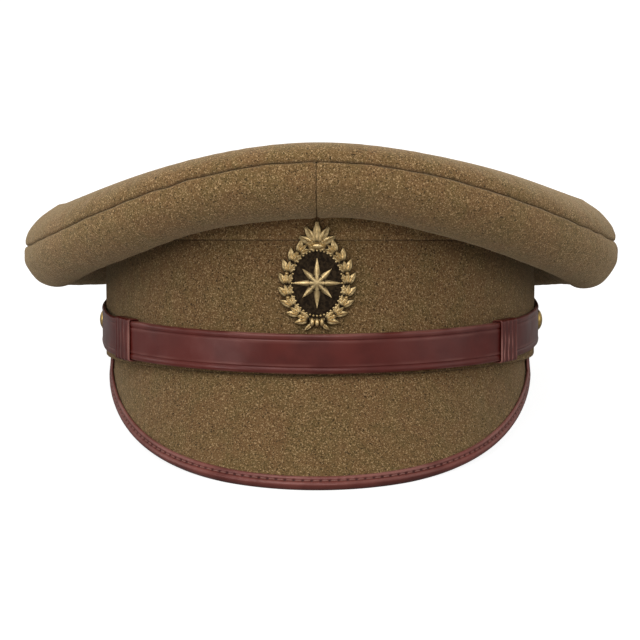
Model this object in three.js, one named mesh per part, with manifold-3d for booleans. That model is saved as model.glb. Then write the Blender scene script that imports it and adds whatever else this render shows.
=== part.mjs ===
// A peaked service dress cap of khaki wool, in millimetres.
// The cap frame has its origin at the centre of the band's lower edge, +Z up through the crown
// and -Y to the front. The finished group stands as the cap rests on a table: on the toe of the
// peak and on the back of the band, with +Z up, the table at z = 0 and the origin under the
// middle of its bounding box.
import * as THREE from "three";
import { TessellateModifier } from "three/addons/modifiers/TessellateModifier.js";
import { mergeVertices } from "three/addons/utils/BufferGeometryUtils.js";
import Module from "manifold-3d";

const wasm = await Module();
wasm.setup();

// The band, an upright oval ring of stiffened cloth. Its lower edge rises a little at the sides.
const BAND_HALF_WIDTH = 92.5;
const BAND_HALF_LENGTH = 104;
const BAND_THICK = 2.6;
const BAND_HEIGHT = { front: 54, side: 53, rear: 47 };
const BAND_SIDE_RISE = 2.4;
const EDGE_ROUND = 0.9;
const GAP = 0.3;

// The crown's cloth, and where its sewn edges turn in.
const CLOTH_THICK = 2;
const SEAM_ALLOWANCE = 2.2;
const SEAM_ANGLE = 0.0016;

// The side panel's profile, from the band's seam round the roll to the crown's seam.
// "out" is the distance outside the band, "z" the height above its lower edge.
const SIDE_ROWS = [
  { name: "band seam", front: [0.3, 54], side: [0.4, 53], rear: [0.4, 47] },
  { name: "fold", front: [0.4, 64.2], side: [3.5, 47], rear: [3, 41] },
  { name: "underside", front: [5.5, 63.4], side: [11, 37], rear: [9, 31] },
  { name: "roll bottom", front: [13, 63.4], side: [19, 31.6], rear: [16, 25.4] },
  { name: "roll", front: [21.5, 67.6], side: [28.3, 33.4], rear: [24.5, 26.8] },
  { name: "outermost", front: [27, 75.5], side: [34.4, 40.8], rear: [30.5, 33.6] },
  { name: "seam lip", front: [27.3, 82.5], side: [35, 46.4], rear: [31, 38.6] },
  { name: "crown seam", front: [25.6, 86], side: [33.6, 49.4], rear: [29.6, 41.4] },
];
// The crown's edge above that seam: "in" is the distance inside it, the rest are rises over it.
const TIP_ROWS = [
  { name: "crown seam", in: 0, front: 0, side: 0, rear: 0 },
  { name: "lip", in: -1.2, front: 2.4, side: 3, rear: 3 },
  { name: "shoulder", in: 0.6, front: 4.8, side: 7, rear: 6.6 },
  { name: "crest", in: 5.5, front: 6.6, side: 12.6, rear: 10.6 },
  { name: "plate", in: 12.5, front: 6.8, side: 17.4, rear: 14 },
];
// How far the padding lifts the middle of the crown over cloth that is only stretched.
const CROWN_DOME = 6;

// The peak, a crescent that slopes down from the band and hangs upright at its ends. In front its
// cloth is full enough to start flush with the band.
const PEAK_THICK = 2.2;
const PEAK_DROP = 41.5;
const PEAK_END_ANGLE = THREE.MathUtils.degToRad(80);
const PEAK_SLOPE = THREE.MathUtils.degToRad(57);
const PEAK_END_SLOPE = THREE.MathUtils.degToRad(83);
const PEAK_INSET = 2.8;
const PEAK_FULLNESS = 2.6;
const PEAK_LAST_TURN = THREE.MathUtils.degToRad(84);

// The leather binding folded over the peak's edge.
const BINDING_WIDTH = 3.4;
const BINDING_THICK = 1;
const BINDING_SLACK = 0.3;

// The chin strap, two leather straps one over the other, held by two slides.
const STRAP_WIDTH = 16;
const STRAP_THICK = 1.3;
const STRAP_CENTRE_HEIGHT = 8.5;
const STRAP_RISE_AT_SIDE = 7.5;
const STRAP_RISE_POWER = 1.8;
const STRAP_END_ANGLE = THREE.MathUtils.degToRad(104.5);
const SLIDE_LEFT_ANGLE = THREE.MathUtils.degToRad(-56.4);
const SLIDE_RIGHT_ANGLE = THREE.MathUtils.degToRad(53.7);
const SLIDE_WIDTH = 12;
const SLIDE_THICK = 1;

// The two domed brass buttons at the strap's ends, a little under the strap's middle.
const BUTTON_ANGLE = THREE.MathUtils.degToRad(98.5);
const BUTTON_DROP = 1.2;
const BUTTON_RADIUS = 5.7;
const BUTTON_DOME = 3.6;
const SHANK_RADIUS = 1.3;
const SHANK_HOLE_RADIUS = 1.9;

// The bronze badge: an oval wreath round an eight-pointed star, with a palmette on top.
const BADGE_CENTRE = { x: 0, z: 36.9 };
const BADGE_HALF_WIDTH = 16;
const BADGE_HALF_HEIGHT = 19.2;
const BADGE_PLATE_THICK = 1;
const BADGE_FACET = 6;

// How deep the table presses into the cloth and the leather that rest on it, and a lean past
// which the cap wouldn't rest on its peak.
const REST_FLAT = 0.6;
const MOST_LEAN = 0.4;

const KHAKI = new THREE.MeshStandardMaterial({ color: 0x6f5d3d, roughness: 0.95, metalness: 0 });
const LEATHER = new THREE.MeshStandardMaterial({ color: 0x55241e, roughness: 0.4, metalness: 0 });
const BRASS = new THREE.MeshStandardMaterial({ color: 0xb08d45, roughness: 0.3, metalness: 1 });
const BRONZE = new THREE.MeshStandardMaterial({ color: 0x8a7145, roughness: 0.42, metalness: 1 });

const cap = new THREE.Group();

function addMesh(name, geometry, material) {
  const mesh = new THREE.Mesh(geometry, material);
  mesh.name = name;
  cap.add(mesh);
  return mesh;
}

// A value at an angle round the cap, from its front, side and rear values.
function around(angle, front, side, rear) {
  const c = Math.cos(angle);
  return side + ((c > 0 ? front : rear) - side) * c * c;
}

// The band's outward normal at an angle from the front, positive to the right.
function bandNormal(angle) {
  const normal = new THREE.Vector3(
    Math.sin(angle) / BAND_HALF_WIDTH,
    -Math.cos(angle) / BAND_HALF_LENGTH,
    0,
  );
  return normal.normalize();
}

// A point at a true distance outside the band.
function offBand(angle, out, z) {
  const point = new THREE.Vector3(
    BAND_HALF_WIDTH * Math.sin(angle),
    -BAND_HALF_LENGTH * Math.cos(angle),
    z,
  );
  return point.addScaledVector(bandNormal(angle), out);
}

// A point on the oval whose half axes are the band's plus "out".
function onOval(angle, out, z) {
  return new THREE.Vector3(
    (BAND_HALF_WIDTH + out) * Math.sin(angle),
    -(BAND_HALF_LENGTH + out) * Math.cos(angle),
    z,
  );
}

// The length of band that one radian of the oval's angle covers.
function bandStretch(angle) {
  return Math.hypot(BAND_HALF_WIDTH * Math.cos(angle), BAND_HALF_LENGTH * Math.sin(angle));
}

// The height of the band's lower edge.
function bandBottom(angle) {
  return BAND_SIDE_RISE * Math.sin(angle) ** 2;
}

function steps(from, to, count) {
  return Array.from({ length: count + 1 }, (_, i) => from + ((to - from) * i) / count);
}

// A closed solid from stations, each a row of outer points and a row of inner points.
function wall(stations, ring = false) {
  const rows = stations[0].outer.length;
  const positions = [];
  for (const { outer, inner } of stations) {
    for (const point of [...outer, ...inner]) positions.push(point.x, point.y, point.z);
  }
  const outerAt = (station, row) => (station % stations.length) * 2 * rows + row;
  const innerAt = (station, row) => outerAt(station, row) + rows;
  const index = [];
  const quad = (a, b, c, d) => index.push(a, b, c, a, c, d);
  const spans = ring ? stations.length : stations.length - 1;
  for (let s = 0; s < spans; s++) {
    for (let r = 0; r < rows - 1; r++) {
      quad(outerAt(s, r), outerAt(s + 1, r), outerAt(s + 1, r + 1), outerAt(s, r + 1));
      quad(innerAt(s, r), innerAt(s, r + 1), innerAt(s + 1, r + 1), innerAt(s + 1, r));
    }
    quad(outerAt(s, 0), innerAt(s, 0), innerAt(s + 1, 0), outerAt(s + 1, 0));
    const last = rows - 1;
    quad(outerAt(s, last), outerAt(s + 1, last), innerAt(s + 1, last), innerAt(s, last));
  }
  if (!ring) {
    const end = stations.length - 1;
    for (let r = 0; r < rows - 1; r++) {
      quad(outerAt(0, r), outerAt(0, r + 1), innerAt(0, r + 1), innerAt(0, r));
      quad(outerAt(end, r), innerAt(end, r), innerAt(end, r + 1), outerAt(end, r + 1));
    }
  }
  return closedGeometry(positions, index);
}

// Merges shared vertices, drops collapsed triangles and turns the faces outwards.
function closedGeometry(positions, index) {
  const loose = new THREE.BufferGeometry();
  loose.setAttribute("position", new THREE.Float32BufferAttribute(positions, 3));
  loose.setIndex(index);
  const merged = mergeVertices(loose, 1e-3);
  const p = merged.attributes.position;
  const kept = [];
  const corner = [0, 1, 2].map(() => new THREE.Vector3());
  let volume = 0;
  for (let i = 0; i < merged.index.count; i += 3) {
    const ids = [0, 1, 2].map((k) => merged.index.getX(i + k));
    if (ids[0] === ids[1] || ids[1] === ids[2] || ids[2] === ids[0]) continue;
    kept.push(...ids);
    corner.forEach((v, k) => v.fromBufferAttribute(p, ids[k]));
    volume += corner[0].dot(corner[1].cross(corner[2]));
  }
  merged.setIndex(volume < 0 ? kept.reverse() : kept);
  return merged;
}

function toSolid(geometry) {
  const bare = geometry.clone();
  bare.deleteAttribute("normal");
  bare.deleteAttribute("uv");
  const merged = mergeVertices(bare, 1e-4);
  return new wasm.Manifold(
    new wasm.Mesh({
      numProp: 3,
      vertProperties: new Float32Array(merged.attributes.position.array),
      triVerts: new Uint32Array(merged.index.array),
    }),
  );
}

function toGeometry(solid) {
  const mesh = solid.getMesh();
  const geometry = new THREE.BufferGeometry();
  geometry.setAttribute("position", new THREE.Float32BufferAttribute(mesh.vertProperties, 3));
  geometry.setIndex(Array.from(mesh.triVerts));
  return geometry;
}

// A profile of [out, z] points smoothed through its rows.
function smoothProfile(rows, count) {
  const curve = new THREE.SplineCurve(rows.map(([out, z]) => new THREE.Vector2(out, z)));
  return steps(0, 1, count).map((t) => curve.getPoint(t).toArray());
}

// The other side of a profile, one cloth's thickness to its left and mitred at its corners.
function innerSide(profile) {
  const heading = (a, b) => new THREE.Vector2(b[0] - a[0], b[1] - a[1]).normalize();
  return profile.map((here, i) => {
    const before = heading(profile[Math.max(0, i - 1)], profile[Math.max(1, i)]);
    const after = i < profile.length - 1 ? heading(here, profile[i + 1]) : before;
    const along = before.clone().add(after).normalize();
    const reach = CLOTH_THICK / along.dot(after);
    return [here[0] - along.y * reach, here[1] + along.x * reach];
  });
}

// The inner side's point where two cloths are sewn edge to edge.
function sewn([out, z]) {
  return [out - CLOTH_THICK, z];
}

function makeBand() {
  const stations = steps(0, 2 * Math.PI, 64)
    .slice(0, -1)
    .map((angle) => {
      const top = around(angle, BAND_HEIGHT.front, BAND_HEIGHT.side, BAND_HEIGHT.rear);
      const bottom = bandBottom(angle);
      return {
        outer: [
          offBand(angle, -EDGE_ROUND, bottom),
          offBand(angle, 0, bottom + EDGE_ROUND),
          offBand(angle, 0, top),
        ],
        inner: [
          offBand(angle, EDGE_ROUND - BAND_THICK, bottom),
          offBand(angle, -BAND_THICK, bottom + EDGE_ROUND),
          offBand(angle, -BAND_THICK, top),
        ],
      };
    });
  return wall(stations, true);
}

// The side panel's two faces at an angle, its allowance turned in over the band's top.
function sideProfile(angle) {
  const rows = SIDE_ROWS.map(({ front, side, rear }) =>
    [0, 1].map((k) => around(angle, front[k], side[k], rear[k])),
  );
  rows[0][1] += GAP;
  const outer = [[-SEAM_ALLOWANCE, rows[0][1]], ...smoothProfile(rows, 12)];
  const inner = innerSide(outer);
  inner[inner.length - 1] = sewn(outer.at(-1));
  return { outer, inner };
}

// Half of the crown's side, from its front seam to its back seam; hand is -1 left, 1 right.
function makeCrownSide(hand) {
  const stations = steps(SEAM_ANGLE, Math.PI - SEAM_ANGLE, 27).map((angle) => {
    const { outer, inner } = sideProfile(angle);
    return {
      outer: outer.map((p) => onOval(hand * angle, ...p)),
      inner: inner.map((p) => onOval(hand * angle, ...p)),
    };
  });
  return wall(stations);
}

// Cloth stretched inside the crown's rim, as a soap film is: each wave of the rim's height fades
// inwards as its own power of the share of the way out.
function film(share, angle, front, side, rear) {
  const level = (front + rear - 2 * side) / 4;
  const tilt = (front - rear) / 2;
  let height = side + level * (1 + share ** 2 * Math.cos(2 * angle));
  for (const n of [1, 3, 5, 7]) {
    const wave = (-8 * Math.sin((n * Math.PI) / 2)) / (Math.PI * n * (n * n - 4));
    height += tilt * wave * share ** n * Math.cos(n * angle);
  }
  return height;
}

// The crown's top: its padded edge, then a plate that swings from high in front to low behind.
function makeTip() {
  const seam = SIDE_ROWS.at(-1);
  const plate = TIP_ROWS.at(-1);
  const rimHeights = ["front", "side", "rear"].map((k) => seam[k][1] + GAP + plate[k]);
  const stations = steps(0, 2 * Math.PI, 54)
    .slice(0, -1)
    .map((angle) => {
      const [out, z] = [0, 1].map((k) =>
        around(angle, seam.front[k], seam.side[k], seam.rear[k]),
      );
      const rows = TIP_ROWS.map((row) => [
        out - row.in,
        z + GAP + around(angle, row.front, row.side, row.rear),
      ]);
      const edge = smoothProfile(rows, 7).slice(0, -1);
      const edgeUnder = [sewn(edge[0]), ...innerSide(edge).slice(1)];
      const middle = steps(1, 0, 6).map((share) =>
        onOval(angle, out - plate.in, 0)
          .multiplyScalar(share)
          .setZ(film(share, angle, ...rimHeights) + CROWN_DOME * (1 - share ** 2)),
      );
      const under = middle.map((point) => point.clone().setZ(point.z - CLOTH_THICK));
      return {
        outer: [...edge.map((p) => onOval(angle, ...p)), ...middle],
        inner: [...edgeUnder.map((p) => onOval(angle, ...p)), ...under],
      };
    });
  return wall(stations, true);
}

// The line down the peak at a turn along its edge, from -90 degrees at the left end to 90.
function peakLine(turn) {
  const share = Math.abs(Math.sin(turn));
  const angle = Math.asin(share * Math.sin(PEAK_END_ANGLE)) * Math.sign(turn);
  const drop = PEAK_DROP * Math.cos(turn) + bandBottom(angle);
  const slope = PEAK_SLOPE + (PEAK_END_SLOPE - PEAK_SLOPE) * share ** 2;
  const out = bandNormal(angle);
  const down = out.clone().multiplyScalar(Math.cos(slope)).setZ(-Math.sin(slope));
  const length = drop / Math.sin(slope);
  return { root: offBand(angle, -PEAK_INSET, bandBottom(angle) - GAP), out, down, slope, length };
}

// A point of the peak's upper face, a share of the way down to its edge, and the normal there.
function peakPoint(turn, share) {
  const { root, out, down, length } = peakLine(turn);
  const fullness = PEAK_FULLNESS * Math.cos(turn) * (1 - share) ** 2;
  return root.addScaledVector(down, length * share).addScaledVector(out, fullness);
}

function peakNormal(turn, share) {
  const step = 1e-3;
  const along = peakPoint(turn + step, share).sub(peakPoint(turn - step, share));
  const down = peakPoint(turn, share + step).sub(peakPoint(turn, share - step));
  return down.cross(along).normalize();
}

// The point of the peak's upper face level with a point close to it, and the normal there.
function onPeak(point) {
  const ahead = (turn) => {
    const { root, out } = peakLine(turn);
    return point.clone().sub(root).dot(new THREE.Vector3(-out.y, out.x, 0));
  };
  let [low, high] = [-PEAK_LAST_TURN, PEAK_LAST_TURN];
  for (let i = 0; i < 40; i++) {
    const middle = (low + high) / 2;
    if (ahead(middle) > 0) low = middle;
    else high = middle;
  }
  const { root, down, length } = peakLine(low);
  const share = (point.z - root.z) / (down.z * length);
  return { point: peakPoint(low, share), normal: peakNormal(low, share) };
}

const peakTurns = steps(-PEAK_LAST_TURN, PEAK_LAST_TURN, 44);

function makePeak() {
  const stations = peakTurns.map((turn) => {
    const { out, slope } = peakLine(turn);
    const shares = [0, 0.2, 0.45, 0.72, 1];
    const outer = shares.map((share) => peakPoint(turn, share));
    const inner = shares.map((share, i) =>
      outer[i].clone().addScaledVector(peakNormal(turn, share), -PEAK_THICK),
    );
    inner[0] = outer[0].clone().addScaledVector(out, -PEAK_THICK / Math.sin(slope));
    return { outer, inner };
  });
  return wall(stations);
}

// A strip of leather bent round the peak's edge into a U, its upright ends included.
function makeBinding() {
  const near = PEAK_THICK / 2 + GAP;
  const far = near + BINDING_THICK;
  const edge = peakTurns.map((turn) => ({ place: peakPoint(turn, 1), face: peakNormal(turn, 1) }));
  const top = (turn) => ({
    place: peakPoint(turn, 0).sub(new THREE.Vector3(0, 0, 0.1)),
    face: peakNormal(turn, 0),
  });
  const path = [top(peakTurns[0]), ...edge, top(peakTurns.at(-1))];
  const stations = path.map(({ place, face }, i) => {
    const before = path[Math.max(0, i - 1)].place;
    const after = path[Math.min(path.length - 1, i + 1)].place;
    const along = after.clone().sub(before).normalize();
    const outward = along.clone().cross(face).normalize();
    const middle = place.clone().addScaledVector(face, -PEAK_THICK / 2);
    const legs = [BINDING_WIDTH, BINDING_WIDTH / 2].map((inside) =>
      onPeak(place.clone().addScaledVector(outward, -inside)),
    );
    const section = (radius, nose) => {
      const on = legs.map(({ point, normal }) =>
        point.clone().addScaledVector(normal, radius - PEAK_THICK / 2),
      );
      const under = legs.map(({ point, normal }) =>
        point.clone().addScaledVector(normal, -radius - PEAK_THICK / 2),
      );
      const arc = steps(90, -90, 4).map((degrees) => {
        const a = THREE.MathUtils.degToRad(degrees);
        return middle
          .clone()
          .addScaledVector(outward, GAP + nose * Math.cos(a))
          .addScaledVector(face, radius * Math.sin(a));
      });
      return [...on, ...arc, ...under.reverse()];
    };
    return {
      outer: section(far, BINDING_SLACK + BINDING_THICK),
      inner: section(near, BINDING_SLACK),
    };
  });
  return wall(stations);
}

function strapHeight(angle) {
  const share = Math.abs(angle) / (Math.PI / 2);
  return STRAP_CENTRE_HEIGHT + STRAP_RISE_AT_SIDE * share ** STRAP_RISE_POWER;
}

function buttonHeight(angle) {
  return strapHeight(angle) - BUTTON_DROP;
}

function smooth(value, from, to) {
  return THREE.MathUtils.smoothstep(value, from, to);
}

// How far off the band a strap's inner face runs: layer 0 lies under, layer 1 over it.
function strapLift(angle, layer, homeSide) {
  const atSlides = GAP + SLIDE_THICK + GAP;
  const slideAngle = angle < 0 ? -SLIDE_LEFT_ANGLE : SLIDE_RIGHT_ANGLE;
  const turn = Math.abs(angle);
  const base = GAP + (atSlides - GAP) * smooth(turn, 0.3, slideAngle - 0.12);
  const over = layer * (STRAP_THICK + GAP);
  const home = Math.sign(angle) === homeSide;
  const settle = home ? smooth(turn, slideAngle + 0.08, slideAngle + 0.45) : 0;
  return (base + over) * (1 - settle) + (GAP + 0.1) * settle;
}

// One of the two straps, from its button on the home side to just past the far slide.
function makeStrap(layer, homeSide) {
  const farSlide = homeSide < 0 ? SLIDE_RIGHT_ANGLE : -SLIDE_LEFT_ANGLE;
  const farEnd = farSlide + 0.045;
  const half = STRAP_WIDTH / 2;
  const roundAngle = half / bandStretch(STRAP_END_ANGLE);
  const bodyAngles = steps(-farEnd, STRAP_END_ANGLE - roundAngle, 36);
  const tip = [22, 45, 65, 82].map((degrees) => THREE.MathUtils.degToRad(degrees));
  const places = [
    ...bodyAngles.map((a) => ({ turn: a, half })),
    ...tip.map((a) => ({
      turn: STRAP_END_ANGLE - roundAngle * (1 - Math.sin(a)),
      half: half * Math.cos(a),
    })),
  ];
  const stations = places.map((place) => {
    const angle = homeSide * place.turn;
    const lift = strapLift(angle, layer, homeSide);
    const middle = strapHeight(angle);
    const face = (out) =>
      [-1, 0, 1].map((side) => offBand(angle, out, middle + side * place.half));
    return { outer: face(lift + STRAP_THICK), inner: face(lift) };
  });
  const hole = new THREE.CylinderGeometry(SHANK_HOLE_RADIUS, SHANK_HOLE_RADIUS, 16, 16);
  setOnBand(hole, homeSide * BUTTON_ANGLE, 0);
  return toGeometry(toSolid(wall(stations)).subtract(toSolid(hole)));
}

// Turns a geometry's own +Y axis to point straight out of the band at a button's place.
function setOnBand(geometry, angle, out) {
  const turn = new THREE.Quaternion().setFromUnitVectors(
    new THREE.Vector3(0, 1, 0),
    bandNormal(angle),
  );
  geometry.applyQuaternion(turn);
  const place = offBand(angle, out, buttonHeight(angle));
  geometry.translate(place.x, place.y, place.z);
  return geometry;
}

// A narrow leather loop round both straps, its four legs following the band's curve.
function makeSlide(angle) {
  const inFace = GAP + SLIDE_THICK;
  const outFace = inFace + GAP + 2 * STRAP_THICK + GAP + GAP;
  const half = STRAP_WIDTH / 2 + GAP;
  const middle = strapHeight(angle);
  const slope = (strapHeight(angle + 0.01) - strapHeight(angle - 0.01)) / 0.02;
  const halfAngle = SLIDE_WIDTH / 2 / bandStretch(angle);
  const loop = (grow) => [
    [inFace - grow, -half - grow],
    [outFace + grow, -half - grow],
    [outFace + grow, half + grow],
    [inFace - grow, half + grow],
  ];
  const bore = loop(0);
  const skin = loop(SLIDE_THICK);
  const place = (share, [out, z]) => {
    const here = angle + share * halfAngle;
    return offBand(here, out, middle + slope * share * halfAngle + z);
  };
  const stations = bore.map((corner, i) => ({
    outer: [-1, 0, 1].map((share) => place(share, skin[i])),
    inner: [-1, 0, 1].map((share) => place(share, corner)),
  }));
  return wall(stations, true);
}

function makeButton(angle) {
  const back = STRAP_THICK + 2 * GAP + 0.1;
  const rim = 1;
  const profile = [new THREE.Vector2(0, GAP), new THREE.Vector2(SHANK_RADIUS, GAP)];
  profile.push(new THREE.Vector2(SHANK_RADIUS, back), new THREE.Vector2(BUTTON_RADIUS, back));
  for (const a of steps(0, Math.PI / 2, 6)) {
    const radius = a === Math.PI / 2 ? 0 : BUTTON_RADIUS * Math.cos(a);
    profile.push(new THREE.Vector2(radius, back + rim + (BUTTON_DOME - rim) * Math.sin(a)));
  }
  return setOnBand(new THREE.LatheGeometry(profile, 24), angle, 0);
}

// A flat shape in the badge's plane, from one depth to another in front of its back.
function badgeSlab(points, from, to) {
  const shape = new THREE.Shape(points.map(([x, z]) => new THREE.Vector2(x, z)));
  const geometry = new THREE.ExtrudeGeometry(shape, { depth: to - from, bevelEnabled: false });
  return toSolid(geometry.translate(0, 0, from));
}

function ovalPoints(halfWidth, halfHeight, count) {
  return steps(0, 2 * Math.PI, count)
    .slice(0, -1)
    .map((a) => [halfWidth * Math.cos(a), halfHeight * Math.sin(a)]);
}

// A pointed leaf from its stem to its tip.
function leafPoints(x, z, heading, length, width) {
  const outline = [
    [0, 0],
    [0.3, 0.42],
    [0.62, 0.4],
    [1, 0],
    [0.62, -0.4],
    [0.3, -0.42],
  ];
  const [c, s] = [Math.cos(heading), Math.sin(heading)];
  return outline.map(([l, w]) => [
    x + l * length * c - w * width * s,
    z + l * length * s + w * width * c,
  ]);
}

function makeBadge() {
  const plateWidth = BADGE_HALF_WIDTH - 3.4;
  const plateHeight = BADGE_HALF_HEIGHT - 3.4;
  let solid = badgeSlab(ovalPoints(plateWidth, plateHeight, 36), 0, BADGE_PLATE_THICK);
  const join = (piece) => {
    solid = solid.add(piece);
  };
  for (const hand of [-1, 1]) {
    for (const a of steps(-1.32, 1.2, 8)) {
      const x = hand * (plateWidth - 0.6) * Math.cos(a);
      const z = (plateHeight - 0.6) * Math.sin(a);
      const along = Math.atan2(plateHeight * Math.cos(a), -hand * plateWidth * Math.sin(a));
      for (const [spread, length] of [[-hand * 0.5, 6.2], [hand * 0.45, 5.2]]) {
        join(badgeSlab(leafPoints(x, z, along + spread, length, 3.4), 0.2, 2));
      }
    }
  }
  const star = steps(0, 2 * Math.PI, 16)
    .slice(0, -1)
    .map((a, i) => {
      const reach = i % 2 ? 3.6 : i % 4 ? 8.2 : 10.2;
      return [reach * Math.sin(a), reach * Math.cos(a)];
    });
  join(badgeSlab(star, 0.5, 2.1));
  join(badgeSlab(ovalPoints(3.4, 3.4, 20), 0.5, 2.9));
  const fan = plateHeight - 0.8;
  for (const a of steps(-1.1, 1.1, 4)) {
    join(badgeSlab(leafPoints(0, fan, Math.PI / 2 - a, 9.6 - 1.6 * Math.abs(a), 4), 0.1, 2.2));
  }
  join(badgeSlab(ovalPoints(2.6, 1.8, 16).map(([x, z]) => [x, z + fan]), 0.1, 2.6));
  join(badgeSlab(ovalPoints(3, 1.9, 16).map(([x, z]) => [x, z - plateHeight]), 0.1, 2.5));
  const fine = new TessellateModifier(BADGE_FACET, 8).modify(toGeometry(solid).toNonIndexed());
  const geometry = mergeVertices(fine, 1e-3);
  const p = geometry.attributes.position;
  for (let i = 0; i < p.count; i++) {
    const angle = (BADGE_CENTRE.x + p.getX(i)) / bandStretch(0);
    const point = offBand(angle, GAP + 0.1 + p.getZ(i), BADGE_CENTRE.z + p.getY(i));
    p.setXYZ(i, point.x, point.y, point.z);
  }
  return geometry;
}

const band = addMesh("band", makeBand(), KHAKI);
addMesh("crown_side_left", makeCrownSide(-1), KHAKI);
addMesh("crown_side_right", makeCrownSide(1), KHAKI);
addMesh("crown_top", makeTip(), KHAKI);
addMesh("peak", makePeak(), KHAKI);
const binding = addMesh("peak_binding", makeBinding(), LEATHER);
addMesh("chin_strap_upper", makeStrap(1, -1), LEATHER);
addMesh("chin_strap_lower", makeStrap(0, 1), LEATHER);
addMesh("strap_slide_left", makeSlide(SLIDE_LEFT_ANGLE), LEATHER);
addMesh("strap_slide_right", makeSlide(SLIDE_RIGHT_ANGLE), LEATHER);
addMesh("button_left", makeButton(-BUTTON_ANGLE), BRASS);
addMesh("button_right", makeButton(BUTTON_ANGLE), BRASS);
addMesh("badge", makeBadge(), BRONZE);

// The lowest that a mesh reaches once the cap leans back.
function lowest(mesh, lean) {
  const p = mesh.geometry.attributes.position;
  const heights = steps(0, p.count - 1, p.count - 1).map(
    (i) => p.getZ(i) * Math.cos(lean) - p.getY(i) * Math.sin(lean),
  );
  return Math.min(...heights);
}

// The cap leans back until the toe of the peak and the back of the band are level.
let [upright, tipped] = [0, MOST_LEAN];
for (let i = 0; i < 40; i++) {
  const lean = (upright + tipped) / 2;
  if (lowest(binding, lean) < lowest(band, lean)) upright = lean;
  else tipped = lean;
}
cap.rotation.x = -upright;
cap.position.z = -lowest(band, upright) - REST_FLAT;
const bounds = new THREE.Box3().setFromObject(cap, true);
cap.position.y = -(bounds.min.y + bounds.max.y) / 2;

// Where cloth and leather meet the table they are pressed flat.
function pressOnTable(mesh) {
  cap.updateMatrixWorld(true);
  const p = mesh.geometry.attributes.position;
  const back = mesh.matrixWorld.clone().invert();
  for (let i = 0; i < p.count; i++) {
    const point = new THREE.Vector3().fromBufferAttribute(p, i).applyMatrix4(mesh.matrixWorld);
    if (point.z < 0) {
      point.setZ(0).applyMatrix4(back);
      p.setXYZ(i, point.x, point.y, point.z);
    }
  }
}
pressOnTable(band);
pressOnTable(binding);

export default cap;
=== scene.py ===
import math

import bmesh
import bpy
import numpy as np
from mathutils import Matrix, Vector


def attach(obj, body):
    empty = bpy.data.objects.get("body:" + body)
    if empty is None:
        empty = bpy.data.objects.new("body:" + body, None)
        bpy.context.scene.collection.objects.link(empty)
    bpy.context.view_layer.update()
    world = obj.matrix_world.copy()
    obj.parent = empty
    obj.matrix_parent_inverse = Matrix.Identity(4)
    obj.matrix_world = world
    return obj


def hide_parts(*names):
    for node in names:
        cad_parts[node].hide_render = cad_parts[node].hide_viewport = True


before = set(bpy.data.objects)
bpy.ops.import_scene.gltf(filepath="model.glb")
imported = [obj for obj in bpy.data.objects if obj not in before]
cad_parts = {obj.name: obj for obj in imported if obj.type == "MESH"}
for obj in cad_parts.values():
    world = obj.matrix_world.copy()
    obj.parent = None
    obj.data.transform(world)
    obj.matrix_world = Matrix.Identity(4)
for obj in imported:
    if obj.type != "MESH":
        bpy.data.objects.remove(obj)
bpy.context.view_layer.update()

# Lengths are in millimetres in the cap's own frame, which has its origin at the centre of the
# band's lower edge, +Z up through the crown and -Y to the front. stand() turns such points into
# metres in the row frame, where the cap leans back on the toe of its peak and on its band.
MM = 0.001
UP = np.array([0, 0, 1])
LEAN = math.radians(10.9332)
LIFT = 18.9544
SHIFT = -2.9113

# The solids' driving sizes. Only the seams, the strap's rise and ends, the slides' leather and the
# buttons' drop follow the photo a little more closely here.
GAP = 0.3
BAND_HALF_WIDTH = 92.5
BAND_HALF_LENGTH = 104
BAND_THICK = 2.6
BAND_HEIGHT = (54, 53, 47)
BAND_SIDE_RISE = 2.4
CLOTH_THICK = 2
SEAM_ALLOWANCE = 2.2
SEAM_ANGLE = 0.001
SEAM_GAP = 0.2
CROWN_DOME = 6

PEAK_THICK = 2.2
PEAK_DROP = 41.5
PEAK_END_ANGLE = math.radians(80)
PEAK_SLOPE = math.radians(57)
PEAK_END_SLOPE = math.radians(83)
PEAK_INSET = 2.8
PEAK_FULLNESS = 2.6
PEAK_LAST_TURN = math.radians(84)
ALLOWANCE_RISE = 0.2
BINDING_WIDTH = 3.4
BINDING_THICK = 1
BINDING_SLACK = 0.3

STRAP_WIDTH = 16
STRAP_STATIONS = 300
STRAP_THICK = 1.3
STRAP_CENTRE_HEIGHT = 8.5
STRAP_RISE_AT_SIDE = 8.4
STRAP_END_RISE = 0.8
STRAP_RISE_POWER = 1.8
STRAP_END_ANGLE = math.radians(107)
SLIDE_LEFT_ANGLE = math.radians(-56.4)
SLIDE_RIGHT_ANGLE = math.radians(53.7)
SLIDE_WIDTH = 12
SLIDE_THICK = 1
SLIDE_LEATHER = 0.75

BUTTON_ANGLE = math.radians(98.5)
BUTTON_DROP = 2.3
BUTTON_RADIUS = 5.7
BUTTON_DOME = 3.6
SHANK_RADIUS = 1.3
SHANK_HOLE_RADIUS = 1.9

BADGE_HEIGHT = 36.9
BADGE_OFF_BAND = 0.4
BADGE_WREATH = (12.0, 15.2)
BADGE_PLATE = (12.6, 15.8)
# The wreath's leaves at each of its places: how they lean, their length, width, bottom and top.
WREATH_LEAVES = ((-0.5, 6.2, 3.4, 0.2, 2.2), (0.45, 5.2, 3.1, 0.2, 2.0), (0, 5.4, 2.4, 0.6, 2.5))

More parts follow.
